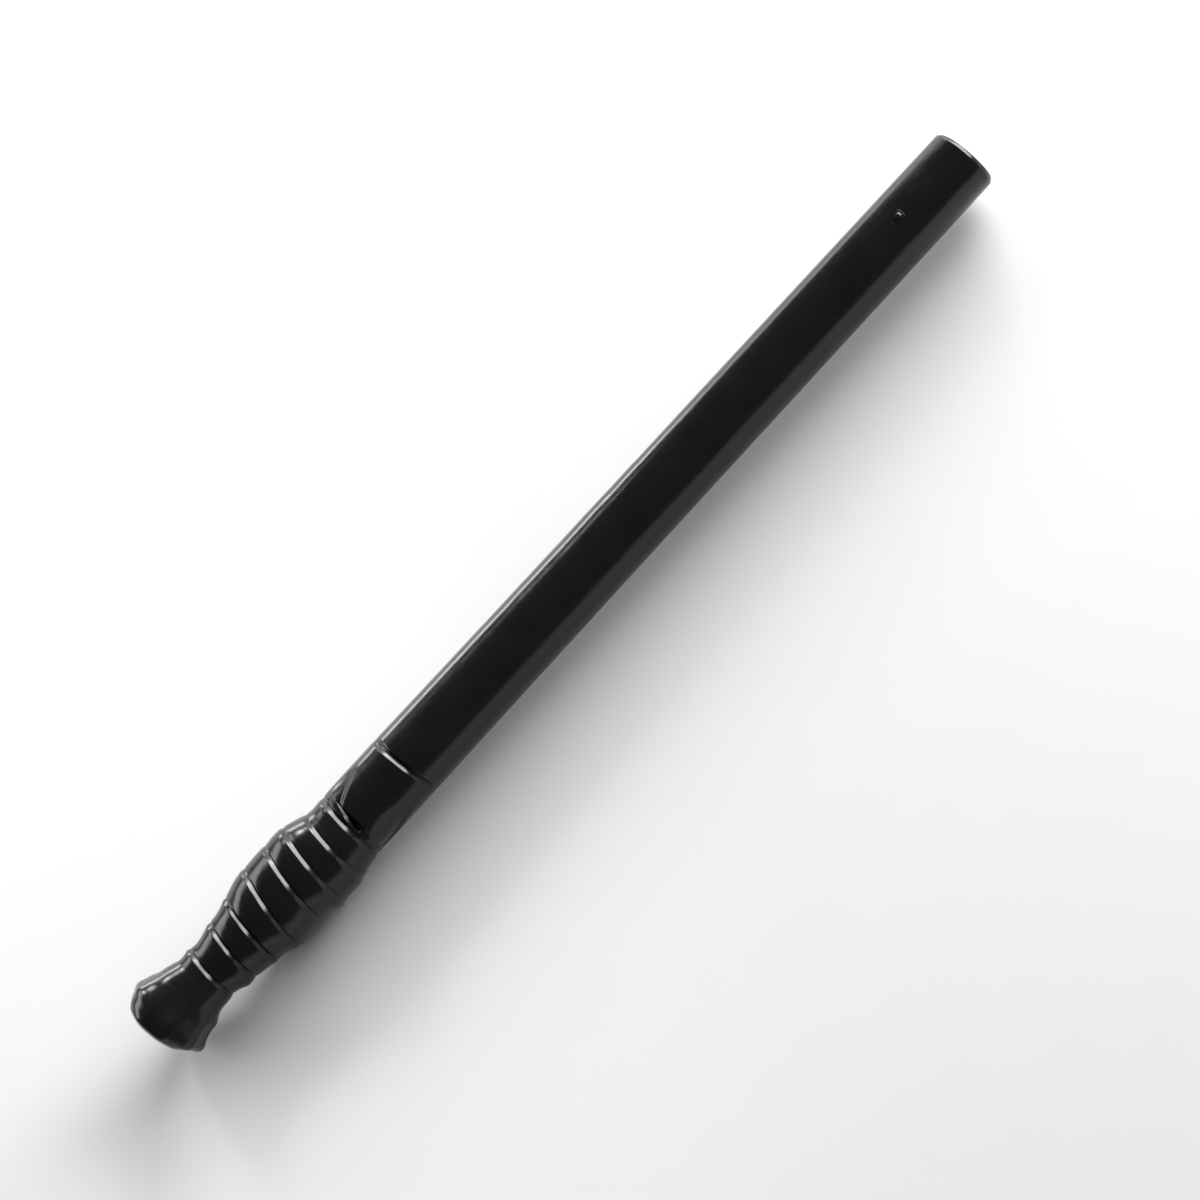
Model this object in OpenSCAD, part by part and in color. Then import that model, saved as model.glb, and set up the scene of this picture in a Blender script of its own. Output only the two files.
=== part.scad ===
// Magic wand: a blunt black shaft, a petal collar, a ribbed grip and a flared pommel, stacked on a
// steel rod and clamped by a nut inside the pommel. It lies along X, pommel at -X and tip at +X.
// Inside each module the wand stands along the local Z axis, with zero at the pommel's end.

/* [Overall] */
// Length from the pommel's end to the tip
total_l = 350; // [320:5:380]
// Largest diameter, across the belly of the grip
belly_d = 29; // [28:0.5:32]
// Turn of the wand about its axis as it lies, from its front facing straight up, towards -Y
front_turn = 33; // [0:1:90]
// Free play between pieces that slide together, on the diameter
play = 0.1; // [0.06:0.02:0.2]

/* [Pommel] */
// Diameter of the rim
rim_d = 26.6; // [25:0.2:28]
// Distance of the rim from the pommel's end
rim_x = 6.5; // [5.5:0.5:8]
// Diameter of the flat end that the wand can stand on
end_flat_d = 15; // [14:0.5:18]
// Diameter of the narrow neck between pommel and grip
neck_d = 18.6; // [18.2:0.2:20]
// Length of the pommel, up to the first groove of the grip
pommel_l = 25; // [24:0.5:27]
// Number of flats hewn on the rim
rim_flats = 9; // [6:1:12]

/* [Grip] */
// Depth of the carved grooves between the ribs
groove_depth = 0.9; // [0.4:0.1:1.2]
// Diameter of the bore in the belly, which takes the balance weight
belly_bore_d = 17; // [15:0.2:17.4]
// Depth of the flat hewn under the belly, which keeps the wand from rolling away
belly_flat = 0.3; // [0.1:0.05:0.4]

/* [Beads and collar] */
// Diameter of the bead ring and of the collar
collar_d = 23.1; // [22.6:0.1:24]
// Length of the ring with the bead
bead_ring_l = 2.6; // [2.2:0.2:5]
// Length of the collar
collar_l = 21.2; // [18:0.2:24]
// Number of petals around the collar
petals = 4; // [3:1:6]
// Turn of the front petal's middle from the wand's front
petal_turn = -6; // [-45:1:45]
// Depth of the recesses between the petals, at their deep end
recess_depth = 1.2; // [0.6:0.1:1.2]

/* [Shaft] */
// Diameter of the shaft where it leaves the collar
shaft_base_d = 23; // [22.2:0.1:23.4]
// Diameter of the shaft at the tip
shaft_tip_d = 21.2; // [20.4:0.1:22]
// Diameter of the tube's bore
tube_bore_d = 17.6; // [16.6:0.1:17.8]
// Length of the cap that closes the tip, outside the tube
cap_l = 3; // [2.6:0.1:6]
// Height of the dome on the tip
dome_h = 0.9; // [0.3:0.1:1.2]
// Distance of the pin that holds the cap from the tip
pin_from_tip = 29; // [20:0.5:31]
// Turn of the pin from the wand's front
pin_turn = -15; // [-45:1:45]
// Diameter of the pin's head
pin_head_d = 4.4; // [4:0.2:5.6]

/* [Core] */
// Diameter of the steel rod, which is M6
rod_d = 6; // [5:0.5:6]
// Width of the rod's nut across its flats
nut_flats = 10; // [9:0.5:10.4]

/* [Hidden] */
$fn = 96;

BLACK = [0.04, 0.04, 0.045];
STEEL = [0.62, 0.63, 0.65];
NYLON = [0.88, 0.86, 0.80];
ALLOY = [0.78, 0.79, 0.81];

axis_z = belly_d / 2 - belly_flat;          // height of the wand's axis when it lies on its belly

// Lengths of the ribs, from the pommel to the bead ring
rib_l = [8.9, 8.2, 8.1, 9.9, 9.0, 7.1, 7.4];
function length_to(n) = n == 0 ? 0 : rib_l[n - 1] + length_to(n - 1);
grip_l = length_to(len(rib_l));

// Stations along the wand, from the pommel's end
grip_x = pommel_l;
bead_x = grip_x + grip_l;
collar_x = bead_x + bead_ring_l;
shaft_x = collar_x + collar_l;
cap_x = total_l - cap_l;
pin_x = total_l - pin_from_tip;

// The nut and its washers sit in a counterbore behind the pommel's plug
nut_bore_d = 12.6;
plug_t = 3;                                 // thickness of the plug's solid end
plug_l = 4.2;                               // length of the plug with its hollow skirt
rod_x = 4;                                  // the rod's end, inside the plug's skirt
nut_x = 5.2;
nut_t = 5;
washer_t = 1.6;
nut_bore_l = nut_x + nut_t + 2 * washer_t;

// Bushes, sockets and spigots
rod_hole_d = rod_d + 0.4;
bush_d = 12.4;                              // the rear bush, and the sockets it fits
socket_l = 4;                               // how far the rear bush enters the pommel
rear_bush_l = 18;
belly_bore_x = 47;
weight_l = 27;
front_body_l = 8;                           // the stretch of the front bush inside the grip
spigot_d = 14;                              // the front bush's spigot through bead ring and collar
shoulder_x = shaft_x - 10.5;                // the shoulder in the collar that the shaft plug pulls on
flange_t = 2.4;                             // the shaft plug's flange
shaft_socket_d = 20;                        // the socket in the collar that takes the tube's spigot
shaft_plug_l = 26;
rod_end_x = shoulder_x + shaft_plug_l - 2;

cap_spigot_l = 33;
cap_bore_d = 13.6;
cap_round = 1.4;                            // radius of the cap's rounded edge
pin_d = 2.5;
pin_seat_r = shaft_tip_d / 2 - 0.3;         // distance of the flat spot under the head from the axis
pin_dome_h = 0.7;
pin_rim_h = 0.3;

thread_pitch = 1;
thread_depth = 0.3;
rear_thread_l = 14;
front_thread_l = 24;

// Share of the way from the neck's radius to the belly's, along the rise of the grip
BELLY_RISE = [[0, 0], [0.17, 0.12], [0.31, 0.3], [0.45, 0.47], [0.59, 0.74], [0.8, 0.87], [1, 1]];
// Share of the way from the belly's radius to the bead ring's, along its fall
BELLY_FALL = [[0, 0], [0.25, 0.12], [0.6, 0.5], [0.85, 0.86], [1, 1]];
belly_rib = 5;                              // the rib whose shoulder is the widest part of the belly
shoulder_l = 1.8;                           // from a rib's widest line to the end of the rib
belly_x = grip_x + length_to(belly_rib) - shoulder_l;

// The flat under the belly leans, so that all of it lies on the table when the tip lies there too
flat_x = belly_x - 2.5;
flat_lean = atan((axis_z - shaft_tip_d / 2) / (cap_x - flat_x));

// Radius of the grip's outer line at distance x from the pommel's end, before the grooves
function grip_r(x) =
    x < belly_x
    ? neck_d / 2 + (belly_d - neck_d) / 2 * lookup((x - grip_x) / (belly_x - grip_x), BELLY_RISE)
    : belly_d / 2 - (belly_d - collar_d) / 2 * lookup((x - belly_x) / (bead_x - belly_x), BELLY_FALL);

// Radius of the shaft at distance x from the pommel's end
function shaft_r(x) =
    shaft_base_d / 2 - (shaft_base_d - shaft_tip_d) / 2 * (x - shaft_x) / (cap_x - shaft_x);

// Lays a piece that stands on local Z along the wand's axis, with local X pointing to its front
module on_axis() {
    translate([-total_l / 2, 0, axis_z])
        rotate([0, 90, 0])
            rotate([0, 0, 180 + front_turn])
                children();
}

// A turned solid from [radius, distance] points
module turned(points) {
    rotate_extrude()
        polygon(points);
}

// A plain hole along the axis, from x0 to x1
module hole(d, x0, x1) {
    translate([0, 0, x0])
        cylinder(d = d, h = x1 - x0);
}

// A turned ring or bush with chamfered ends
module ring(outer_d, inner_d, x0, x1, chamfer = 0.3) {
    difference() {
        turned([
            [0, x0], [outer_d / 2 - chamfer, x0], [outer_d / 2, x0 + chamfer],
            [outer_d / 2, x1 - chamfer], [outer_d / 2 - chamfer, x1], [0, x1]
        ]);
        hole(inner_d, x0 - 1, x1 + 1);
    }
}

// Outline of the pommel: flat end, bevel, rounded rim and a concave flare down to the neck
function pommel_outline() = concat(
    [[0, 0], [end_flat_d / 2, 0], [end_flat_d / 2 + 2.4, 2.2], [rim_d / 2 - 0.9, rim_x - 2.8]],
    [[rim_d / 2 - 0.3, rim_x - 1.5], [rim_d / 2, rim_x]],
    [
        for (u = [0 : 0.2 : 1])
            [neck_d / 2 + (rim_d / 2 - 0.4 - neck_d / 2) * (1 + cos(180 * u)) / 2,
             rim_x + 2 + (pommel_l - rim_x - 3.5) * u]
    ],
    [[neck_d / 2 - 0.1, pommel_l - 0.6], [neck_d / 2 - groove_depth, pommel_l], [0, pommel_l]]
);

module pommel() {
    color(BLACK)
        on_axis()
            difference() {
                intersection() {
                    turned(pommel_outline());
                    rotate([0, 0, 13])
                        cylinder(r = (rim_d / 2 - 0.4) / cos(180 / rim_flats), h = pommel_l, $fn = rim_flats);
                }
                hole(nut_bore_d, -1, nut_bore_l);
                hole(rod_hole_d, nut_bore_l - 1, pommel_l + 1);
                hole(bush_d + play, pommel_l - socket_l, pommel_l + 1);
            }
}

module pommel_plug() {
    color(BLACK)
        on_axis()
            difference() {
                ring(nut_bore_d - 0.04, 0.01, 0, plug_l, 0.25);
                hole(nut_bore_d - 4, plug_t, plug_l + 1);
            }
}

// Outline of one rib: it widens towards the tip, and has a rounded shoulder before the next groove
function rib_outline(x0, x1) = [
    [grip_r(x0) - groove_depth, x0 + 0.3],
    [grip_r(x0 + 1) - groove_depth * 0.5, x0 + 0.9],
    [grip_r(x0 + 2.6) - groove_depth * 0.3, x0 + 2.6],
    [grip_r(x1 - shoulder_l), x1 - shoulder_l],
    [grip_r(x1 - 1) - groove_depth * 0.15, x1 - 1],
    [grip_r(x1) - groove_depth, x1 - 0.4]
];

module grip() {
    color(BLACK)
        difference() {
            on_axis()
                difference() {
                    turned(concat(
                        [[0, grip_x], [grip_r(grip_x) - groove_depth, grip_x]],
                        [
                            for (i = [0 : len(rib_l) - 1])
                                each rib_outline(grip_x + length_to(i), grip_x + length_to(i + 1))
                        ],
                        [[grip_r(bead_x) - groove_depth, bead_x], [0, bead_x]]
                    ));
                    hole(bush_d + play, grip_x - 1, belly_bore_x + 1);
                    hole(belly_bore_d, belly_bore_x, bead_x + 1);
                }
            translate([flat_x - total_l / 2, 0, 0])
                rotate([0, -flat_lean, 0])
                    translate([-belly_d, -belly_d / 2, -belly_d])
                        cube([2 * belly_d, belly_d, belly_d]);
        }
}

// The bead is an arc that stands on the ring's body
module bead_ring() {
    bead_h = groove_depth * 0.9;
    color(BLACK)
        on_axis()
            difference() {
                turned([
                    [0, bead_x],
                    for (a = [0 : 15 : 180])
                        [collar_d / 2 - bead_h * (1 - sin(a)), bead_x + bead_ring_l / 2 * (1 - cos(a))],
                    [0, collar_x]
                ]);
                hole(spigot_d + play, bead_x - 1, collar_x + 1);
            }
}

// One recess between two petals: a slanted V cut, deep at the grip and gone before the rim
module petal_recess() {
    cut_h = 4;                              // height of the cutter's triangle, well past the surface
    flank_angle = 67;                       // between the recess's middle and each of its flanks
    run = collar_l * 0.8;                   // the length over which the recess runs out
    translate([collar_d / 2 - recess_depth, 0, collar_x])
        rotate([0, atan(recess_depth / run), 0])
            translate([0, 0, -1])
                linear_extrude(collar_l)
                    polygon([
                        [0, 0], [cut_h, cut_h * tan(flank_angle)], [cut_h, -cut_h * tan(flank_angle)]
                    ]);
}

module petal_collar() {
    color(BLACK)
        on_axis()
            difference() {
                turned([
                    [0, collar_x], [collar_d / 2 - 0.8, collar_x], [collar_d / 2, collar_x + 0.8],
                    [collar_d / 2, shaft_x - 0.5], [collar_d / 2 - 0.4, shaft_x], [0, shaft_x]
                ]);
                hole(spigot_d + play, collar_x - 1, shoulder_x + 1);
                hole(shaft_socket_d, shoulder_x, shaft_x + 1);
                for (i = [0 : petals - 1])
                    rotate([0, 0, petal_turn + (i + 0.5) * 360 / petals])
                        petal_recess();
            }
}

// The pin's way through tube and cap: a shank hole and the flat spot that the head sits on
module pin_seat() {
    translate([0, 0, pin_x])
        rotate([0, 0, pin_turn])
            rotate([0, 90, 0]) {
                cylinder(d = pin_d + play, h = shaft_base_d);
                translate([0, 0, pin_seat_r])
                    cylinder(d = pin_head_d + 2 * play, h = shaft_base_d);
            }
}

module shaft_tube() {
    spigot_x = shoulder_x + flange_t + play;
    color(BLACK)
        on_axis()
            difference() {
                turned([
                    [0, spigot_x], [shaft_socket_d / 2 - play / 2, spigot_x],
                    [shaft_socket_d / 2 - play / 2, shaft_x], [shaft_r(shaft_x) - 0.3, shaft_x],
                    [shaft_r(shaft_x), shaft_x + 0.4], [shaft_r(cap_x), cap_x - 0.1],
                    [shaft_r(cap_x) - 0.1, cap_x], [0, cap_x]
                ]);
                hole(tube_bore_d, spigot_x - 1, cap_x + 1);
                pin_seat();
            }
}

// Outline of the tip: a rounded edge that runs into a shallow dome
function tip_outline() =
    let (
        edge_r = shaft_r(cap_x) - cap_round,
        dome_r = (edge_r * edge_r + dome_h * dome_h) / (2 * dome_h),
        dome_angle = asin(edge_r / dome_r)
    ) concat(
        [[shaft_r(cap_x) - 0.1, cap_x], [shaft_r(cap_x), cap_x + 0.1]],
        [
            for (a = [0 : 10 : 70])
                [edge_r + cap_round * cos(a), total_l - dome_h - cap_round * (1 - sin(a))]
        ],
        [
            for (k = [0 : 6])
                let (a = dome_angle * (1 - k / 6)) [dome_r * sin(a), total_l - dome_r * (1 - cos(a))]
        ]
    );

module tip_cap() {
    spigot_r = (tube_bore_d - play) / 2;
    color(BLACK)
        on_axis()
            difference() {
                turned(concat(
                    [[0, cap_x - cap_spigot_l], [spigot_r - 0.5, cap_x - cap_spigot_l]],
                    [[spigot_r, cap_x - cap_spigot_l + 1], [spigot_r, cap_x]],
                    tip_outline()
                ));
                hole(cap_bore_d, cap_x - cap_spigot_l - 1, cap_x - 1);
                pin_seat();
            }
}

module tip_pin() {
    shank_r = cap_bore_d / 2 + 0.2;
    color(BLACK)
        on_axis()
            translate([0, 0, pin_x])
                rotate([0, 0, pin_turn])
                    rotate([0, 90, 0])
                        turned(concat(
                            [[0, shank_r], [pin_d / 2, shank_r], [pin_d / 2, pin_seat_r]],
                            [[pin_head_d / 2, pin_seat_r]],
                            [
                                for (a = [0 : 15 : 90])
                                    [pin_head_d / 2 * cos(a), pin_seat_r + pin_rim_h + pin_dome_h * sin(a)]
                            ]
                        ));
}

// Thread ridges as rings, from x0 to x1
function thread_outline(x0, x1) = [
    for (x = [x0 : thread_pitch : x1 - thread_pitch])
        each [[rod_d / 2, x + 0.15], [rod_d / 2 - thread_depth, x + 0.5], [rod_d / 2, x + 0.85]]
];

module core_rod() {
    end_r = rod_d / 2 - thread_depth - 0.3;
    color(STEEL)
        on_axis()
            turned(concat(
                [[0, rod_x], [end_r, rod_x]],
                thread_outline(rod_x + 0.5, rod_x + rear_thread_l),
                thread_outline(rod_end_x - front_thread_l, rod_end_x - 0.5),
                [[end_r, rod_end_x], [0, rod_end_x]]
            ));
}

module shaft_plug() {
    body_r = (tube_bore_d - play) / 2;
    body_x = shoulder_x + flange_t;
    groove_x = [body_x + 6, body_x + 14];
    color(ALLOY)
        on_axis()
            difference() {
                turned([
                    [0, shoulder_x], [shaft_socket_d / 2 - 0.4, shoulder_x],
                    [shaft_socket_d / 2 - 0.1, shoulder_x + 0.3], [shaft_socket_d / 2 - 0.1, body_x],
                    [body_r, body_x],
                    for (x = groove_x)
                        each [[body_r, x], [body_r - 0.4, x + 0.4], [body_r - 0.4, x + 2], [body_r, x + 2.4]],
                    [body_r, shoulder_x + shaft_plug_l - 1],
                    [body_r - 0.6, shoulder_x + shaft_plug_l], [0, shoulder_x + shaft_plug_l]
                ]);
                hole(rod_d + 0.04, shoulder_x - 1, shoulder_x + shaft_plug_l + 1);
            }
}

module front_bush() {
    body_x = bead_x - front_body_l;
    end_x = shoulder_x - 0.3;
    color(NYLON)
        on_axis()
            difference() {
                turned([
                    [0, body_x], [belly_bore_d / 2 - 0.4, body_x], [belly_bore_d / 2 - play / 2, body_x + 0.4],
                    [belly_bore_d / 2 - play / 2, bead_x], [spigot_d / 2, bead_x],
                    [spigot_d / 2, end_x - 0.5], [spigot_d / 2 - 0.5, end_x], [0, end_x]
                ]);
                hole(rod_hole_d, body_x - 1, end_x + 1);
            }
}

module rear_bush() {
    color(NYLON)
        on_axis()
            ring(bush_d, rod_hole_d, pommel_l - socket_l, pommel_l - socket_l + rear_bush_l, 0.5);
}

module balance_weight() {
    color(STEEL)
        on_axis()
            ring(belly_bore_d - play, rod_hole_d, belly_bore_x + 0.2, belly_bore_x + 0.2 + weight_l, 0.6);
}

module rod_washer() {
    x0 = nut_x + nut_t + washer_t;
    color(STEEL)
        on_axis()
            ring(12, rod_hole_d, x0, x0 + washer_t, 0.15);
}

// A ring split by a slanted cut, so that it springs
module lock_washer() {
    x0 = nut_x + nut_t;
    gap = 1;
    color(STEEL)
        on_axis()
            difference() {
                ring(11.8, rod_d + 0.1, x0, x0 + washer_t, 0.1);
                translate([0, 0, x0 + washer_t / 2])
                    rotate([25, 0, 0])
                        translate([0, -gap / 2, -washer_t * 2])
                            cube([10, gap, washer_t * 4]);
            }
}

module rod_nut() {
    corner_d = nut_flats / cos(30);
    color(STEEL)
        on_axis()
            difference() {
                intersection() {
                    hole(corner_d, nut_x, nut_x + nut_t, $fn = 6);
                    ring(corner_d, 0.01, nut_x, nut_x + nut_t, (corner_d - nut_flats) / 2);
                }
                hole(rod_d + 0.04, nut_x - 1, nut_x + nut_t + 1);
            }
}

shaft_tube();
tip_cap();
tip_pin();
petal_collar();
bead_ring();
grip();
pommel();
pommel_plug();
core_rod();
shaft_plug();
front_bush();
rear_bush();
balance_weight();
rod_washer();
lock_washer();
rod_nut();
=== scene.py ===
"""The looks of the magic wand: carved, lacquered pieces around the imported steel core.

Distances along the wand are in millimetres from the pommel's end. Angles around it are measured
from its front, which faces the camera, towards its left side, the upper side in the picture.
"""
import math

import bpy
import numpy as np
from mathutils import Matrix, Vector


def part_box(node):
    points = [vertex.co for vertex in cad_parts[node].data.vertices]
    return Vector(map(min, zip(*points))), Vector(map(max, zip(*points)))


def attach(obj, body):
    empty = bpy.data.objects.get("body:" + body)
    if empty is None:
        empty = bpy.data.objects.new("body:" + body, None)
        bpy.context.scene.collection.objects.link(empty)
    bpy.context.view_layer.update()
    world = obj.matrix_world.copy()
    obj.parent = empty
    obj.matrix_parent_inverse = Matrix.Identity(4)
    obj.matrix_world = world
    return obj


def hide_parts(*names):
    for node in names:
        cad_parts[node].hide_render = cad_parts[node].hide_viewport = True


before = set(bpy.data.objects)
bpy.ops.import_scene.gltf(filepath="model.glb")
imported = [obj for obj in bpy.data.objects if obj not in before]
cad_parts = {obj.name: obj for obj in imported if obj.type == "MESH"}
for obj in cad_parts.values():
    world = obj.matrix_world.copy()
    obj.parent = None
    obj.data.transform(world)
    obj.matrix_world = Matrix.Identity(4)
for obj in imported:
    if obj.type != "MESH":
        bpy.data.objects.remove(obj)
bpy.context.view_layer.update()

MM = 0.001                                  # in metres, the frame's unit

# The wand's axis and its two directions around it, as the CAD frame has them
FRONT_TURN = math.radians(33)
FRONT = np.array([0, -math.sin(FRONT_TURN), math.cos(FRONT_TURN)])
LEFT = np.array([0, math.cos(FRONT_TURN), math.sin(FRONT_TURN)])
END_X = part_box("pommel")[0].x
AXIS_Z = sum(corner.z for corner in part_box("shaft_tube")) / 2


def reach(node):
    """A node's first and last station along the wand, and its radius, in millimetres."""
    low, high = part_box(node)
    return (low.x - END_X) / MM, (high.x - END_X) / MM, (high.y - low.y) / 2 / MM


GRIP_START, GRIP_END, _ = reach("grip")
COLLAR_START, COLLAR_END, _ = reach("petal_collar")
TUBE_START, TUBE_END, _ = reach("shaft_tube")
CAP_START, TIP, _ = reach("tip_cap")
BELLY_RADIUS = 14.49                        # the largest that the skin may have
AROUND = 240                                # corners in a turn


# ---------------------------------------------------------------- shape of the carved skin

def smooth(t):
    """From 0 to 1 with soft ends."""
    t = np.clip(t, 0, 1)
    return t * t * (3 - 2 * t)


def line(points):
    """A smooth line through (station, value) points, as a function."""
    station, value = np.array(points, float).T
    slope = np.gradient(value, station)

    def at(x):
        x = np.clip(x, station[0], station[-1])
        i = np.clip(np.searchsorted(station, x, side="right") - 1, 0, len(station) - 2)
        h = station[i + 1] - station[i]
        t = (x - station[i]) / h
        start = value[i] * (1 + 2 * t) * (1 - t) ** 2 + h * slope[i] * t * (1 - t) ** 2
        end = value[i + 1] * t * t * (3 - 2 * t) + h * slope[i + 1] * t * t * (t - 1)
        return start + end

    return at


def lumps(x, a, step, around, seed):
    """Smooth unevenness from -1 to 1: a lump every step millimetres, and around lumps in a turn."""
    rows = int(TIP / step) + 6
    table = np.random.default_rng(seed).uniform(-1, 1, (rows, around))
    u = x / step + 2
    v = a / (2 * np.pi) % 1 * around
    i = np.clip(np.floor(u).astype(int), 0, rows - 2)
    j = np.floor(v).astype(int) % around
    s = smooth(u - i)
    t = smooth(v - np.floor(v))
    near = table[i, j] * (1 - t) + table[i, (j + 1) % around] * t
    far = table[i + 1, j] * (1 - t) + table[i + 1, (j + 1) % around] * t
    return near * (1 - s) + far * s


# Radius along the wand on its left, right, front and back
SHAFT_LINE = [(96, 11.54), (107, 11.52), (112, 11.48), (347, 10.6)]
LEFT_LINE = line([
    (0, 8.0), (1.1, 11.0), (2.8, 12.6), (5, 13.6), (7.1, 14.4), (8.3, 14.3), (9.5, 13.8),
    (11.8, 13.0), (14.1, 12.0), (16.5, 11.35), (18.8, 10.6), (21.2, 9.9), (23, 9.95),
    (24.6, 10.25), (27, 9.7), (29.4, 9.8), (31.7, 10.3), (34, 11.0), (38.4, 11.3), (39.8, 11.6),
    (42.7, 12.6), (45.7, 13.3), (51.6, 14.3), (57.4, 14.45), (63.2, 14.45), (67.7, 14.45),
    (70.6, 13.9), (73.5, 13.0), (76.4, 12.0), (79.3, 11.3), (82.2, 11.4), (85, 11.4),
    (90, 11.52), *SHAFT_LINE
])
RIGHT_LINE = line([
    (0, 6.7), (1.2, 8.8), (2.6, 11.7), (3.6, 12.5), (4.7, 12.8), (6, 12.6), (8.3, 11.85),
    (11.8, 11.0), (14.4, 10.7), (16.5, 9.5), (18.8, 8.8), (21.2, 8.7), (24.7, 8.5), (27, 9.0),
    (29.3, 9.95), (31.7, 9.9), (34, 10.3), (38.4, 11.0), (39.8, 11.4), (42.7, 11.5), (45.7, 12.4),
    (47.2, 13.3), (51.6, 13.2), (57.4, 12.9), (60.3, 13.1), (63.2, 13.8), (64.7, 14.3),
    (67.7, 13.9), (70.6, 13.85), (73.5, 13.8), (76.4, 13.0), (79.3, 12.25), (82.2, 11.8),
    (85, 11.6), (90, 11.55), *SHAFT_LINE
])
FRONT_LINE = line([
    (0, 10.2), (0.6, 11.6), (2, 12.7), (4.5, 13.15), (6.6, 13.2), (9, 12.6), (12, 11.75),
    (15, 10.9), (18, 10.05), (21, 9.45), (24, 9.4), (33, 10.5), (41, 11.8), (49.5, 13.3),
    (59.3, 14.1), (65, 14.35), (68.3, 14.2), (75.4, 13.1), (82, 11.7), (85, 11.5), (90, 11.54),
    *SHAFT_LINE
])
BACK_LINE = line([
    (0, 7), (1.4, 9.4), (3.6, 12), (5.8, 13.2), (7.4, 13.1), (10, 12.3), (13, 11.5), (17, 10.3),
    (21, 9.5), (25, 9.5), (33, 10.6), (41, 11.9), (49.5, 13.4), (59.3, 14.2), (65, 14.4),
    (68.3, 14.2), (75.4, 13.0), (82, 11.7), (85, 11.5), (90, 11.54), *SHAFT_LINE
])

# Grooves: station, depth, width of the wall after it, and the share of the depth left at the
# sides. The ribs lie between the first eight
GROOVES = [
    (GRIP_START, 0.95, 0.4, 0.4), (33.9, 1.12, 0.4, 0.4), (42.1, 1.15, 0.4, 0.4),
    (50.7, 1.1, 0.4, 0.4), (60.1, 1.0, 0.4, 0.4), (68.2, 0.85, 0.4, 0.5), (76.2, 0.72, 0.4, 0.5),
    (GRIP_END, 0.78, 1.1, 0.35), (COLLAR_END + 0.3, 0.92, 1.2, 0.1)
]
RIBS = 7
BEVEL = 1.3                                 # width of the bevel before a groove
BEVEL_SOFT = 0.2                            # how much of the bevel's slope has soft ends
HOLLOW = 0.8                                # how low a rib starts, as a share of its groove
HOLLOW_LENGTH = 5.2                         # over which a rib rises to its full width
HOLLOW_AT_SIDES = 0.25                      # share of that which is left at the sides
STEP = 0.3                                  # length of a step that is nearly square
FACING_EDGE = 0.75                          # cosine at which the sides start

# How far the carving leans: millimetres along the wand per millimetre to the left
SLANT = line([
    (0, 0), (14, 0.02), (25, 0.06), (34, 0.12), (42, 0.12), (50.2, 0.2), (60, 0.165),
    (69, 0.12), (76.2, 0.08), (GRIP_END, 0.05), (COLLAR_START, 0.06), (COLLAR_START + 1.3, 0.02),
    (97, -0.03), (107.2, -0.08), (113, 0), (350, 0)
])
END_LEAN = 0.11                             # the hewn end isn't square to the axis
END_LEAN_LENGTH = 12                        # over which the lean runs out
END_LEAN_LEFT = 7                           # how far left the end still leans

# Flats hewn on the pommel: where each one is around it, and its share of the round radius
FLATS = [
    (12, 0.975), (80, 0.975), (118, 0.96), (158, 0.955), (203, 0.965), (246, 0.96), (292, 0.96),
    (335, 0.97)
]
FLATS_END = 19                              # where the flats have run out
FLATS_FADE = 8                              # over which they run out

# The ring before the collar: where its bead starts to fall, and the deep slot after it. Places
# across the wand are in millimetres to the left of its middle
BEAD_RADIUS = 11.5
BEAD_EDGE = 0.45                            # from the ring's start to the bead's edge
BEAD_LEAN = 0.27                            # millimetres along the wand per millimetre to the left
BEAD_BEVEL = 1.4                            # length of the fall
BEAD_FALL = 0.85                            # height of the fall
BEAD_AT_SIDES = 0.1                         # share of it that is left at the sides
BEAD_RIGHT, BEAD_FADE = -8.5, 7             # where the fall starts on the right, and how softly
SLOT = 1.0                                  # depth of the slot after the bead, at the front
SLOT_LENGTH = 0.7
SLOT_RIGHT, SLOT_LEFT, SLOT_FADE = -4.7, 5, 1.8     # its two ends, and how softly it runs out
PETAL_ROUND = 0.8                           # how far the petals' ends are rounded

# Where the petals are around the collar, in degrees, and the front petal's left and right edge
# at stations along the collar
PETALS = [0, 95, 170, 238, 360]
PETAL_LEFT = line([
    (85.5, 22), (86.7, 25), (89.7, 33), (92.7, 41), (96.4, 50), (100, 59), (104, 68)
])
PETAL_RIGHT = line([
    (85.3, -36), (86.3, -33.5), (88.6, -27), (91.3, -19.6), (93.3, -21), (95.4, -25),
    (98.2, -33.5), (101.5, -42)
])
PETAL_DEPTH = line([(85, 0.95), (93, 0.85), (99, 0.55), (102, 0.3), (105, 0), (110, 0)])
DROP = 13                                   # degrees of rounded drop at a petal's left edge
CLOSING = 12                                # degrees of width at which a recess starts to run out

# Unevenness of the hand-made surface: its height along the wand, then the length, the number
# round the wand and the seed of the large and the small lumps
UNEVEN = line([
    (0, 0.11), (60, 0.1), (85, 0.07), (92, 0.04), (107, 0.03), (115, 0.015), (350, 0.015)
])
LARGE_LUMPS = (6, 10, 1)
SMALL_LUMPS = (2.3, 26, 2)
SMALL_SHARE = 0.3                           # height of a small lump, as a share of a large one


def sides(x, a):
    """Radius before carving, blended between the four side lines."""
    c, s = np.cos(a), np.sin(a)
    front_back = np.where(c > 0, FRONT_LINE(x), BACK_LINE(x))
    left_right = np.where(s > 0, LEFT_LINE(x), RIGHT_LINE(x))
    return front_back * c * c + left_right * s * s


def facing(a):
    """1 on the wand's front and back, falling to 0 at its sides."""
    return smooth(np.abs(np.cos(a)) / FACING_EDGE)


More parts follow.
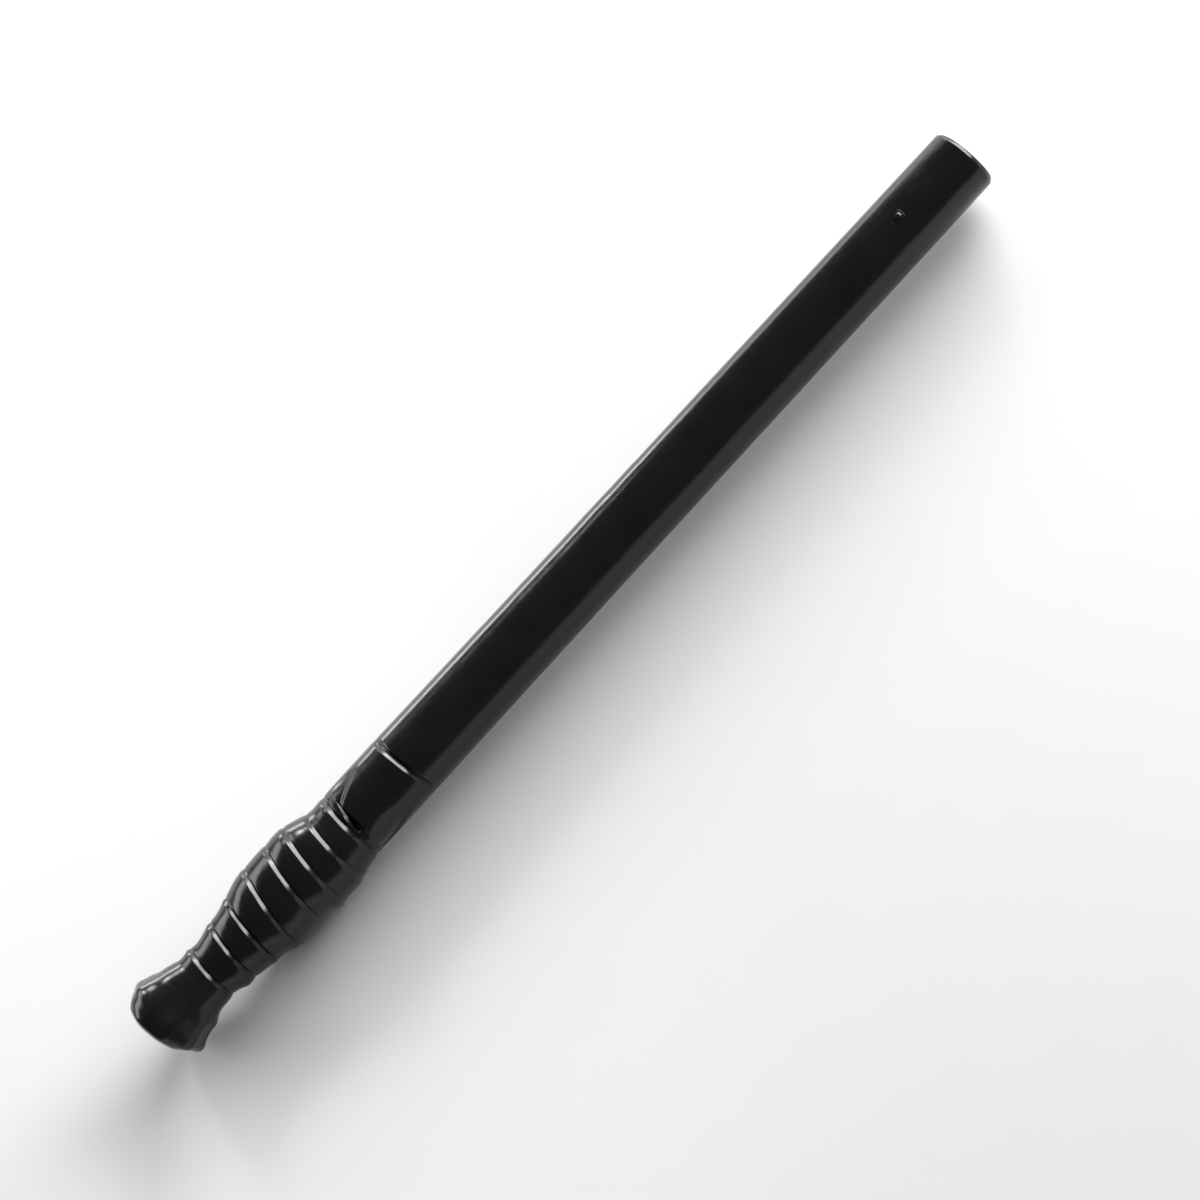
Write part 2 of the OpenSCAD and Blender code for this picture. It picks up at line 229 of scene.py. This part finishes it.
def groove_depth(u, a):
    """Depth of the grooves, with a bevel before each one and a steeper wall after it."""
    depth = 0 * u * a
    for station, deep, wall, at_sides in GROOVES:
        d = u - station
        before = np.clip(1 + d / BEVEL, 0, 1)
        before = (1 - BEVEL_SOFT) * before + BEVEL_SOFT * smooth(before)
        share = at_sides + (1 - at_sides) * facing(a)
        depth = depth + deep * share * np.where(d < 0, before, 1 - smooth(d / wall))
    return depth


def rib_hollow(u, a):
    """Each rib starts low and swells to its full width, like a bead that leans on the next one."""
    hollow = 0 * u * a
    for station, deep, *_ in GROOVES[:RIBS]:
        t = (u - station) / HOLLOW_LENGTH
        rise = np.where(t >= 0, smooth((u - station) / STEP) * np.clip(1 - t, 0, 1) ** 2, 0)
        hollow = hollow + deep * HOLLOW * rise
    return hollow * (HOLLOW_AT_SIDES + (1 - HOLLOW_AT_SIDES) * facing(a))


def bead_drop(u, a):
    """The bead falls along a slanted edge, down to a deep slot before the petals."""
    left = BEAD_RADIUS * np.sin(a)
    d = u - GRIP_END - np.clip(BEAD_EDGE + BEAD_LEAN * left, 0.1, None)
    slot = SLOT * smooth((left - SLOT_RIGHT) / SLOT_FADE) * smooth((SLOT_LEFT - left) / SLOT_FADE)
    depth = BEAD_FALL * np.clip(d / BEAD_BEVEL, 0, 1)
    depth = depth + slot * np.clip((d - BEAD_BEVEL) / SLOT_LENGTH, 0, 1)
    petals = smooth((u - COLLAR_START) / PETAL_ROUND)
    share = BEAD_AT_SIDES + (1 - BEAD_AT_SIDES) * facing(a)
    return depth * (1 - petals) * share * smooth((left - BEAD_RIGHT) / BEAD_FADE)


def turn_apart(a, middle):
    """Angle from middle to a, in degrees from -180 to 180."""
    return (np.degrees(a) - middle + 180) % 360 - 180


def petal_recess(u, a):
    """Depth of the recesses between the petals. Each one drops softly from a petal's left edge and
    rises again slowly to the next petal's right edge."""
    depth = 0 * u * a
    for turn, following in zip(PETALS, PETALS[1:]):
        start = PETAL_LEFT(u) + turn
        width = np.clip(PETAL_RIGHT(u) + following - start, 0.1, None)
        off = turn_apart(a, start + width / 2) + width / 2
        sunk = smooth(off / DROP) * np.clip(1 - off / width, 0, 1)
        depth = depth + sunk * smooth(width / CLOSING)
    return depth * PETAL_DEPTH(u) * smooth((u - COLLAR_START) / STEP)


def flat_share(u, a):
    """The pommel's hewn flats, as a share of its round radius."""
    share = 1 + 0 * u * a
    for middle, part in FLATS:
        off = np.radians(turn_apart(a, middle))
        cut = np.where(np.abs(off) < 1, part / np.cos(np.clip(off, -1, 1)), 2)
        share = np.minimum(share, cut)
    strength = smooth((FLATS_END - u) / FLATS_FADE)
    return 1 - strength * (1 - share)


def end_lean(u, left):
    """How far the hewn end's lean shifts a place along the wand."""
    return END_LEAN * np.clip(END_LEAN_LEFT - left, 0, None) * (1 - smooth(u / END_LEAN_LENGTH))


def unevenness(u, a):
    """Height of the large and small lumps of the surface."""
    return (UNEVEN(u) * lumps(u, a, *LARGE_LUMPS)
            + SMALL_SHARE * UNEVEN(u) * lumps(u, a, *SMALL_LUMPS))


def skin(u, a):
    """Station and radius of the carved skin at station u of the uncarved wand and angle a."""
    round_radius = sides(u, a)
    left = round_radius * np.sin(a)
    x = u + SLANT(u) * left + end_lean(u, left)
    radius = sides(u + SLANT(u) * left, a) * flat_share(u, a)
    carving = groove_depth(u, a) + rib_hollow(u, a) + bead_drop(u, a) + petal_recess(u, a)
    radius = radius - carving + unevenness(u, a)
    down = np.clip(-(FRONT[2] * np.cos(a) + LEFT[2] * np.sin(a)), 0.1, None)
    floor = AXIS_Z / MM / down              # the flat under the belly, which the wand lies on
    return x, np.minimum(radius, np.minimum(BELLY_RADIUS, floor))


# ---------------------------------------------------------------- meshes

ANGLES = np.linspace(0, 2 * np.pi, AROUND, endpoint=False)[None, :]


def place(x, radius, a):
    """Points in the frame, in metres, from stations, radii and angles."""
    x, radius, a = np.broadcast_arrays(x, radius, a)
    across = radius[..., None] * (np.cos(a)[..., None] * FRONT + np.sin(a)[..., None] * LEFT)
    points = across * MM
    points[..., 0] = END_X + x * MM
    points[..., 2] += AXIS_Z
    return points


def ring(x, radius):
    """One plain ring of corners."""
    return place(np.full((1, 1), float(x)), np.full((1, 1), float(radius)), ANGLES)


def carved(stations):
    """Rings of the carved skin."""
    x, radius = skin(np.array(stations, float)[:, None], ANGLES)
    return place(x, radius, ANGLES)


def dense(start, end, step, fine_step, fine_places=(), reach_back=1.7, reach_on=1.9):
    """Stations from start to end, closer together from reach_back before a fine place to reach_on
    after it."""
    found = [start]
    while found[-1] < end - 1e-6:
        x = found[-1]
        fine = any(-reach_back <= x - p <= reach_on for p in fine_places)
        found.append(min(x + (fine_step if fine else step), end))
    if found[-1] - found[-2] < fine_step / 3:
        found.pop(-2)
    return found


def between(ring_a, ring_b, count):
    """Rings evenly between two rings, without the two."""
    shares = np.linspace(0, 1, count + 2)[1:-1, None, None]
    return ring_a * (1 - shares) + ring_b * shares


def solid(name, rings, through=True):
    """A closed mesh from rings of corners. A through piece joins its last ring to its first, and
    any other piece ends in a point at both ends, at the middle of its first and its last ring."""
    grid = np.concatenate(rings)
    rows, columns = grid.shape[:2]
    verts = grid.reshape(-1, 3)
    row = np.arange(rows if through else rows - 1)[:, None]
    column = np.arange(columns)[None, :]
    after = (column + 1) % columns
    below = (row + 1) % rows
    quads = np.stack([
        row * columns + column, row * columns + after,
        below * columns + after, below * columns + column
    ], -1).reshape(-1, 4)
    faces = [tuple(q) for q in quads.tolist()]
    if not through:
        first, last = len(verts), len(verts) + 1
        verts = np.concatenate([verts, grid[0].mean(0)[None], grid[-1].mean(0)[None]])
        tail = (rows - 1) * columns
        for i in range(columns):
            j = (i + 1) % columns
            faces.append((first, j, i))
            faces.append((last, tail + i, tail + j))
    mesh = bpy.data.meshes.new(name)
    mesh.from_pydata(verts.tolist(), [], faces)
    if volume(mesh) < 0:
        mesh.flip_normals()
    mesh.polygons.foreach_set("use_smooth", np.ones(len(mesh.polygons), bool))
    mesh.set_sharp_from_angle(angle=math.radians(50))
    mesh.validate()
    piece = bpy.data.objects.new(name, mesh)
    bpy.context.scene.collection.objects.link(piece)
    return piece


def volume(mesh):
    """Signed volume of a closed mesh, above zero where its faces point outwards."""
    mesh.calc_loop_triangles()
    corners = np.zeros(len(mesh.vertices) * 3)
    mesh.vertices.foreach_get("co", corners)
    tris = np.zeros(len(mesh.loop_triangles) * 3, int)
    mesh.loop_triangles.foreach_get("vertices", tris)
    p = corners.reshape(-1, 3)[tris.reshape(-1, 3)]
    return np.einsum("ij,ij->i", p[:, 0], np.cross(p[:, 1], p[:, 2])).sum() / 6


def bore(*steps):
    """Rings of a stepped bore, from (station, radius) steps."""
    return [ring(x, r) for x, r in steps]


# ---------------------------------------------------------------- pieces

PLAY = 0.05                                 # between sliding pieces, on the radius
SLIVER = 0.1                                # a length or radius too small to see
BUSH_BORE = reach("rear_bush")[2] + PLAY
SPIGOT_BORE = 7 + PLAY
WEIGHT_BORE = reach("balance_weight")[2] + PLAY
WEIGHT_START = reach("balance_weight")[0] - 0.2
PLUG_GAP = 0.02                             # round the pommel's plug, which is pressed in
NUT_BORE = reach("pommel_plug")[2] + PLUG_GAP
NUT_BORE_END = reach("rod_washer")[1]
NUT_BORE_PLACES = (8, 3)                    # rings that keep the bore's faces short
PLUG_FACE_END = 3                           # where the plug's solid face ends and its skirt starts
PLUG_SKIRT = 2                              # thickness of the skirt
PLUG_EDGE = 0.12                            # chamfer on the plug's edge
ROD_HOLE = 3.2
SOCKET = reach("rear_bush")[0]
SHOULDER = reach("shaft_plug")[0]
COLLAR_SOCKET = 10
TUBE_SPIGOT = COLLAR_SOCKET - PLAY
TUBE_BORE = 8.8
CAP_BORE = 6.8
CAP_FACE = 1                                # thickness of the cap behind the tube's end
CAP_CHAMFER = (1, 0.5)                      # length and height of the chamfer on the cap's spigot


def end_ring(radius, depth=0.0):
    """A ring on the pommel's leaning end."""
    left = radius * np.sin(ANGLES)
    return place(depth + end_lean(depth, left), np.full_like(left, radius), ANGLES)


def make_pommel():
    """The carved knob, with the rear bush's socket and the bore that the nut is reached by."""
    stations = dense(0, GRIP_START, 0.45, 0.16, [1.5, 4.5, GRIP_START])
    outer = carved(stations)
    front = between(end_ring(NUT_BORE), outer[:1], 3)
    back = bore(
        (GRIP_START, BUSH_BORE), (SOCKET, BUSH_BORE), (SOCKET, ROD_HOLE),
        (NUT_BORE_END, ROD_HOLE), (NUT_BORE_END, NUT_BORE),
        *((x, NUT_BORE) for x in NUT_BORE_PLACES)
    )
    return solid("pommel_knob", [outer, *back, end_ring(NUT_BORE), front])


def make_plug():
    """The plug that closes the nut's bore, flush with the pommel's leaning end."""
    radius = NUT_BORE - PLUG_GAP
    length = reach("pommel_plug")[1]
    face = [end_ring(radius * share) for share in (0.25, 0.5, 0.75)]
    edge = [end_ring(radius - PLUG_EDGE), end_ring(radius, PLUG_EDGE)]
    inside = bore(
        (length, radius), (length, radius - PLUG_SKIRT), (PLUG_FACE_END, radius - PLUG_SKIRT),
        (PLUG_FACE_END, radius * 0.4), (PLUG_FACE_END, radius * 0.1)
    )
    return solid("pommel_end_plug", [*face, *edge, *inside], through=False)


def make_grip():
    """The ribbed sleeve, hollow for the weight and for the rear bush."""
    places = [station for station, *_ in GROOVES[:RIBS + 1]]
    outer = carved(dense(GRIP_START, GRIP_END, 0.5, 0.16, places))
    inside = bore(
        (GRIP_END, WEIGHT_BORE), (WEIGHT_START, WEIGHT_BORE), (WEIGHT_START, BUSH_BORE),
        (GRIP_START, BUSH_BORE)
    )
    return solid("carved_grip", [outer, *inside])


def make_bead_ring():
    """The ring with the slanted bead, on the front bush's spigot."""
    outer = carved(dense(GRIP_END, COLLAR_START, 0.16, 0.16))
    inside = bore((COLLAR_START, SPIGOT_BORE), (GRIP_END, SPIGOT_BORE))
    return solid("carved_ring", [outer, *inside])


def make_collar():
    """The cuff with the petals, with a socket for the shaft's spigot."""
    outer = carved(dense(COLLAR_START, COLLAR_END, 0.3, 0.15, [COLLAR_START, COLLAR_END]))
    inside = bore(
        (COLLAR_END, COLLAR_SOCKET), (SHOULDER, COLLAR_SOCKET), (SHOULDER, SPIGOT_BORE),
        (COLLAR_START, SPIGOT_BORE)
    )
    return solid("carved_petal_collar", [outer, *inside])


# The pin near the tip sits on a flat spot
PIN_LOW, PIN_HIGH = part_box("tip_pin")
PIN_X = ((PIN_LOW.x + PIN_HIGH.x) / 2 - END_X) / MM
PIN_ANGLE = math.radians(15)
PIN_RADIUS = (PIN_HIGH.x - PIN_LOW.x) / 2 / MM
PIN_SEAT = 10.3                             # distance of the flat spot from the axis
PIN_FOOT = CAP_BORE + 0.2                   # distance of the shank's inner end from the axis
PIN_RIM = 0.47                              # height of the head's flat rim, above its seat
PIN_DOME = 0.95                             # radius of the dome on the head
PIN_DOME_HEIGHT = 0.45
PIN_DOME_SHIFT = 0.45                       # how far the dome's foot lies towards the tip
PIN_DOME_LEAN = 0.5                         # how far the dome's top leans towards the pommel
PIN_SHANK = 1.25                            # radius of the shank
PIN_EDGE = [(0, 0.14), (0.2, 0.04), (0.5, 0)]       # the rim's edge: how far in, how far down
PIN_LIP = 0.02                              # from the rim up to the dome's foot
SEAT_INSET, SEAT_FADE = 0.2, 0.25           # how far inside the rim the flat spot ends, how softly


def with_pin_seat(x, radius, a):
    """Cuts the flat spot under the pin's head into the skin."""
    across = np.sin(a - PIN_ANGLE) * radius
    away = np.hypot(x - PIN_X, across)
    towards = np.cos(a - PIN_ANGLE)
    flat = PIN_SEAT / np.clip(towards, 0.5, 1)
    share = smooth((PIN_RADIUS - SEAT_INSET - away) / SEAT_FADE) * (towards > 0.5)
    return radius - share * np.clip(radius - flat, 0, None)


def make_shaft():
    """The tapered tube and its spigot, with the flat spot under the pin's head."""
    stations = dense(COLLAR_END, TUBE_END, 2.4, 0.25, [COLLAR_END, PIN_X], 3.6, 3.6)
    x, radius = skin(np.array(stations)[:, None], ANGLES)
    outer = place(x, with_pin_seat(x, radius, ANGLES), ANGLES)
    inside = bore(
        (TUBE_END, TUBE_BORE), (TUBE_START, TUBE_BORE), (TUBE_START, TUBE_SPIGOT),
        (COLLAR_END - SLIVER, TUBE_SPIGOT)
    )
    return solid("tapered_shaft", [outer, *inside])


CAP_RADIUS = 10.58
CAP_BEVEL_LENGTH = 0.9
CAP_BEVEL_FALL = 0.58
CAP_BEVEL_TURN = math.atan2(CAP_BEVEL_FALL, CAP_BEVEL_LENGTH)
CAP_BEVEL_START = (0.15, 0.04)              # length and height of the soft start of the bevel
CAP_ROUND = 0.5                             # radius of the edge after the bevel
DOME = 0.95                                 # height of the dome on the tip
TIP_LEAN = 0.045                            # the tip isn't quite square to the axis
TIP_LEAN_LEFT = -1.3                        # where the lean neither adds nor takes away


def tip_ring(x, radius):
    """A ring of the cap outside the tube, which leans more and more towards the tip."""
    left = radius * np.sin(ANGLES)
    share = (x - TUBE_END) / (TIP - TUBE_END)
    leaning = x - share * TIP_LEAN * (left - TIP_LEAN_LEFT)
    return place(leaning, np.full_like(left, radius), ANGLES)


def make_cap():
    """The cap's bevel, rounded edge and dome, on its hollow spigot inside the tube."""
    edge = CAP_RADIUS - CAP_BEVEL_FALL - CAP_ROUND
    dome_radius = (edge * edge + DOME * DOME) / (2 * DOME)
    dome_turn = math.asin(edge / dome_radius)
    bevel_end = TIP - DOME - CAP_ROUND * (1 - math.sin(CAP_BEVEL_TURN))
    bevel_start = bevel_end - CAP_BEVEL_LENGTH
    outline = [
        (TUBE_END, CAP_RADIUS), (bevel_start - CAP_BEVEL_START[0], CAP_RADIUS),
        (bevel_start, CAP_RADIUS - CAP_BEVEL_START[1])
    ]
    for turn in np.linspace(CAP_BEVEL_TURN, math.radians(80), 10):
        x = TIP - DOME - CAP_ROUND * (1 - math.sin(turn))
        outline.append((x, edge + CAP_ROUND * math.cos(turn)))
    for turn in dome_turn * np.linspace(0.97, 0.04, 16):
        outline.append((TIP - dome_radius * (1 - math.cos(turn)), dome_radius * math.sin(turn)))
    spigot = TUBE_BORE - PLAY
    length, height = CAP_CHAMFER
    inside = bore(
        (TUBE_END - CAP_FACE, CAP_BORE * 0.1), (TUBE_END - CAP_FACE, CAP_BORE),
        (CAP_START, CAP_BORE), (CAP_START, spigot - height), (CAP_START + length, spigot),
        (TUBE_END, spigot)
    )
    outside = [tip_ring(x, radius) for x, radius in outline]
    return solid("domed_tip_cap", [*inside, *outside], through=False)


def make_pin():
    """The pin's flat head with a small leaning dome, and its shank."""
    rim = PIN_SEAT + PIN_RIM
    outline = [
        (SLIVER, PIN_FOOT, 0), (PIN_SHANK, PIN_FOOT, 0), (PIN_SHANK, PIN_SEAT, 0),
        (PIN_RADIUS, PIN_SEAT, 0),
        *((PIN_RADIUS - inward, rim - down, 0) for inward, down in PIN_EDGE)
    ]
    for t in np.radians(np.linspace(0, 86, 12)):
        height = rim + PIN_LIP + PIN_DOME_HEIGHT * math.sin(t)
        shift = PIN_DOME_SHIFT - PIN_DOME_LEAN * math.sin(t)
        outline.append((PIN_DOME * math.cos(t), height, shift))
    out = math.cos(PIN_ANGLE) * FRONT + math.sin(PIN_ANGLE) * LEFT
    side = np.cross(out, [1, 0, 0])
    turns = np.linspace(0, 2 * np.pi, 48, endpoint=False)[:, None]
    middle = np.array([END_X + PIN_X * MM, 0, AXIS_Z])
    around = np.cos(turns) * [1, 0, 0] + np.sin(turns) * side
    rings = [
        (middle + MM * (height * out + radius * around + np.array([shift, 0, 0])))[None]
        for radius, height, shift in outline
    ]
    return solid("tip_pin_head", rings, through=False)


# ---------------------------------------------------------------- materials

NOISE_LOW, NOISE_HIGH = 0.3, 0.7            # where most of a noise texture's values lie
LACQUER_LUMPS = 0.00005                     # heights in metres
LACQUER_PEEL = 0.000004
TURNING_MARKS = 0.00001


def material(name):
    """A new material, its node tree and its shader."""
    found = bpy.data.materials.new(name)
    found.use_nodes = True
    tree = found.node_tree
    return found, tree, tree.nodes["Principled BSDF"]


def add(tree, kind, **values):
    """A new node with its input values set by name."""
    node = tree.nodes.new(kind)
    for key, value in values.items():
        node.inputs[key.replace("_", " ")].default_value = value
    return node


def noise(tree, scale, detail, stretch=(1, 1, 1)):
    """Noise in the object's own space, in lumps per metre."""
    where = tree.nodes.new("ShaderNodeTexCoord")
    mapping = add(tree, "ShaderNodeMapping")
    mapping.inputs["Scale"].default_value = stretch
    texture = add(tree, "ShaderNodeTexNoise", Scale=scale, Detail=detail)
    tree.links.new(where.outputs["Object"], mapping.inputs["Vector"])
    tree.links.new(mapping.outputs["Vector"], texture.inputs["Vector"])
    return texture.outputs["Fac"]


def ramp(tree, source, stops):
    """A colour ramp on a grey value, from (place, colour) stops."""
    node = tree.nodes.new("ShaderNodeValToRGB")
    marks = node.color_ramp.elements
    while len(marks) < len(stops):
        marks.new(0.5)
    for mark, (where, colour) in zip(marks, stops):
        mark.position = where
        mark.color = (*colour, 1)
    tree.links.new(source, node.inputs["Fac"])
    return node.outputs["Color"]


def spread(tree, source, low, high):
    """Noise spread over the range from low to high."""
    node = tree.nodes.new("ShaderNodeMapRange")
    node.inputs["From Min"].default_value = NOISE_LOW
    node.inputs["From Max"].default_value = NOISE_HIGH
    node.inputs["To Min"].default_value = low
    node.inputs["To Max"].default_value = high
    tree.links.new(source, node.inputs["Value"])
    return node.outputs["Result"]


def bump(tree, source, depth, below=None):
    """A bump of the given depth in metres, on top of another."""
    node = add(tree, "ShaderNodeBump", Strength=1.0, Distance=depth)
    tree.links.new(source, node.inputs["Height"])
    if below is not None:
        tree.links.new(below, node.inputs["Normal"])
    return node.outputs["Normal"]


def gloss_black(name, rough_low, rough_high):
    """Black lacquer, nearly black, with a soft orange peel and faint marks of handling."""
    found, tree, shader = material(name)
    patches = noise(tree, 90, 4)
    marks = noise(tree, 900, 5, (0.35, 1, 1))
    colour = ramp(tree, patches, [
        (0.35, (0.004, 0.004, 0.0044)), (0.6, (0.006, 0.0058, 0.0058)), (0.8, (0.01, 0.0095, 0.009))
    ])
    tree.links.new(colour, shader.inputs["Base Color"])
    tree.links.new(spread(tree, marks, rough_low, rough_high), shader.inputs["Roughness"])
    uneven = bump(tree, noise(tree, 260, 3, (0.6, 1, 1)), LACQUER_LUMPS)
    peel = bump(tree, noise(tree, 2200, 2), LACQUER_PEEL, uneven)
    tree.links.new(peel, shader.inputs["Normal"])
    shader.inputs["Specular IOR Level"].default_value = 0.42
    return found


def metal(name, colour, dark, rough_low, rough_high, turned_marks):
    """Plain or turned metal: fine marks around the axis, darker patches of handling and oil."""
    found, tree, shader = material(name)
    shader.inputs["Metallic"].default_value = 1.0
    patches = noise(tree, 400, 4)
    tree.links.new(ramp(tree, patches, [(0.35, dark), (0.6, colour)]), shader.inputs["Base Color"])
    stretch = (40, 1, 1) if turned_marks else (1, 1, 1)
    marks = noise(tree, 300, 3, stretch)
    tree.links.new(spread(tree, marks, rough_low, rough_high), shader.inputs["Roughness"])
    tree.links.new(bump(tree, marks, TURNING_MARKS), shader.inputs["Normal"])
    return found


def nylon(name):
    """Natural nylon: warm white, waxy, with faint machining marks."""
    found, tree, shader = material(name)
    patches = noise(tree, 250, 3)
    colour = ramp(tree, patches, [(0.35, (0.62, 0.58, 0.48)), (0.65, (0.74, 0.71, 0.62))])
    tree.links.new(colour, shader.inputs["Base Color"])
    marks = noise(tree, 300, 3, (30, 1, 1))
    tree.links.new(spread(tree, marks, 0.4, 0.55), shader.inputs["Roughness"])
    tree.links.new(bump(tree, marks, 0.000012), shader.inputs["Normal"])
    shader.inputs["Subsurface Weight"].default_value = 0.15
    shader.inputs["Subsurface Scale"].default_value = 0.002
    return found


MATERIALS = {
    "gloss_black": gloss_black("gloss_black", 0.16, 0.24),
    "pin_black": gloss_black("pin_black", 0.14, 0.22),
    "zinc_steel": metal("zinc_steel", (0.62, 0.63, 0.66), (0.5, 0.5, 0.49), 0.25, 0.4, False),
    "turned_steel": metal("turned_steel", (0.56, 0.56, 0.57), (0.45, 0.44, 0.43), 0.2, 0.38, True),
    "alloy": metal("alloy", (0.8, 0.8, 0.81), (0.68, 0.68, 0.69), 0.28, 0.42, True),
    "natural_nylon": nylon("natural_nylon"),
}

PIECES = [
    (make_pommel(), "pommel", "gloss_black"),
    (make_plug(), "pommel_plug", "gloss_black"),
    (make_grip(), "grip", "gloss_black"),
    (make_bead_ring(), "bead_ring", "gloss_black"),
    (make_collar(), "petal_collar", "gloss_black"),
    (make_shaft(), "shaft_tube", "gloss_black"),
    (make_cap(), "tip_cap", "gloss_black"),
    (make_pin(), "tip_pin", "pin_black"),
]
for piece, node, slot in PIECES:
    piece.data.materials.append(MATERIALS[slot])
    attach(piece, "root")
    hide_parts(node)

CORE = {
    "core_rod": "zinc_steel", "rod_nut": "zinc_steel", "rod_washer": "zinc_steel",
    "lock_washer": "zinc_steel", "balance_weight": "turned_steel", "shaft_plug": "alloy",
    "front_bush": "natural_nylon", "rear_bush": "natural_nylon",
}
for node, slot in CORE.items():
    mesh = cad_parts[node].data
    mesh.materials.clear()
    mesh.materials.append(MATERIALS[slot])


# ---------------------------------------------------------------- floor, light and camera

def make_floor():
    """A plain pale floor under the wand."""
    mesh = bpy.data.meshes.new("floor")
    half = 4.0
    corners = [(-half, -half, 0), (half, -half, 0), (half, half, 0), (-half, half, 0)]
    mesh.from_pydata(corners, [], [(0, 1, 2, 3)])
    floor = bpy.data.objects.new("floor", mesh)
    bpy.context.scene.collection.objects.link(floor)
    found, tree, shader = material("pale_floor")
    colour = ramp(tree, noise(tree, 3, 3), [(0.3, (0.84, 0.84, 0.84)), (0.7, (0.87, 0.87, 0.87))])
    tree.links.new(colour, shader.inputs["Base Color"])
    tree.links.new(spread(tree, noise(tree, 60, 2), 0.55, 0.65), shader.inputs["Roughness"])
    mesh.materials.append(found)


def area_light(name, where, target, width, height, power, colour=(1, 1, 1)):
    """A soft rectangular light that faces its target, with its height upright."""
    data = bpy.data.lights.new(name, "AREA")
    data.shape = "RECTANGLE"
    data.size = width
    data.size_y = height
    data.energy = power
    data.color = colour
    light = bpy.data.objects.new(name, data)
    bpy.context.scene.collection.objects.link(light)
    light.location = where
    light.rotation_euler = (Vector(target) - Vector(where)).to_track_quat("-Z", "Y").to_euler()
    return light


COOL = (0.93, 0.96, 1)                      # colours of the light on the shaft
COOLER = (0.86, 0.93, 1)


def make_lights():
    """Long lights on the left that the lacquer mirrors as streaks, and a wide one at the tip."""
    area_light("streak_light", (-0.02, 0.62, 0.05), (-0.02, 0, 0.05), 0.24, 0.1, 0.72)
    area_light("streak_fade", (0.18, 0.62, 0.07), (0.18, 0, 0.07), 0.16, 0.13, 0.21, COOL)
    area_light("streak_end", (0.5, 0.62, 0.13), (0.5, 0, 0.13), 0.48, 0.26, 0.7, COOLER)
    area_light("handle_light", (-0.53, 0.6, 0.28), (-0.53, 0, 0.05), 0.74, 0.26, 2.6)
    area_light("pommel_light", (0.53, 0.62, 0.31), (0.3, 0, 0.05), 0.42, 0.22, 1.3)
    flare = area_light("flare_light", (-0.06, 0.62, 0.35), (-0.163, 0, 0.02), 0.26, 0.24, 0.045)
    flare.data.spread = math.radians(17)    # a narrow beam that reaches only the pommel
    area_light("tip_light", (1.42, 0.36, 0.66), (0, 0, 0), 2.0, 0.68, 60)
    world = bpy.data.worlds.new("studio")
    bpy.context.scene.world = world
    world.use_nodes = True
    background = world.node_tree.nodes["Background"]
    background.inputs["Color"].default_value = (0.96, 0.98, 1, 1)
    background.inputs["Strength"].default_value = 0.16


ROLL = math.radians(47.34)                  # the wand's lean in the picture
DISTANCE = 0.95                             # from the wand's axis, in metres
IMAGE_WIDTH = 1200
PIXELS_PER_M = 3422.4                       # at the wand's axis
AIM_ALONG = 0.0064                          # where the picture's middle is, from the wand's middle
AIM_LEFT = -0.0091


def make_camera():
    """The camera that looks square at the wand's front."""
    along = Vector((1, 0, 0))
    front, left = Vector(FRONT), Vector(LEFT)
    right = along * math.cos(ROLL) - left * math.sin(ROLL)
    up = along * math.sin(ROLL) + left * math.cos(ROLL)
    middle_x = END_X + TIP / 2 * MM
    aim = Vector((middle_x, 0, AXIS_Z)) + along * AIM_ALONG + left * AIM_LEFT
    data = bpy.data.cameras.new("camera")
    data.sensor_width = 36
    data.lens = PIXELS_PER_M * data.sensor_width / IMAGE_WIDTH * DISTANCE
    camera = bpy.data.objects.new("camera", data)
    bpy.context.scene.collection.objects.link(camera)
    turn = Matrix((right, up, front)).transposed().to_4x4()
    camera.matrix_world = Matrix.Translation(aim + front * DISTANCE) @ turn
    bpy.context.scene.camera = camera


make_floor()
make_lights()
make_camera()
bpy.context.scene.view_settings.view_transform = "Standard"

bpy.context.view_layer.update()
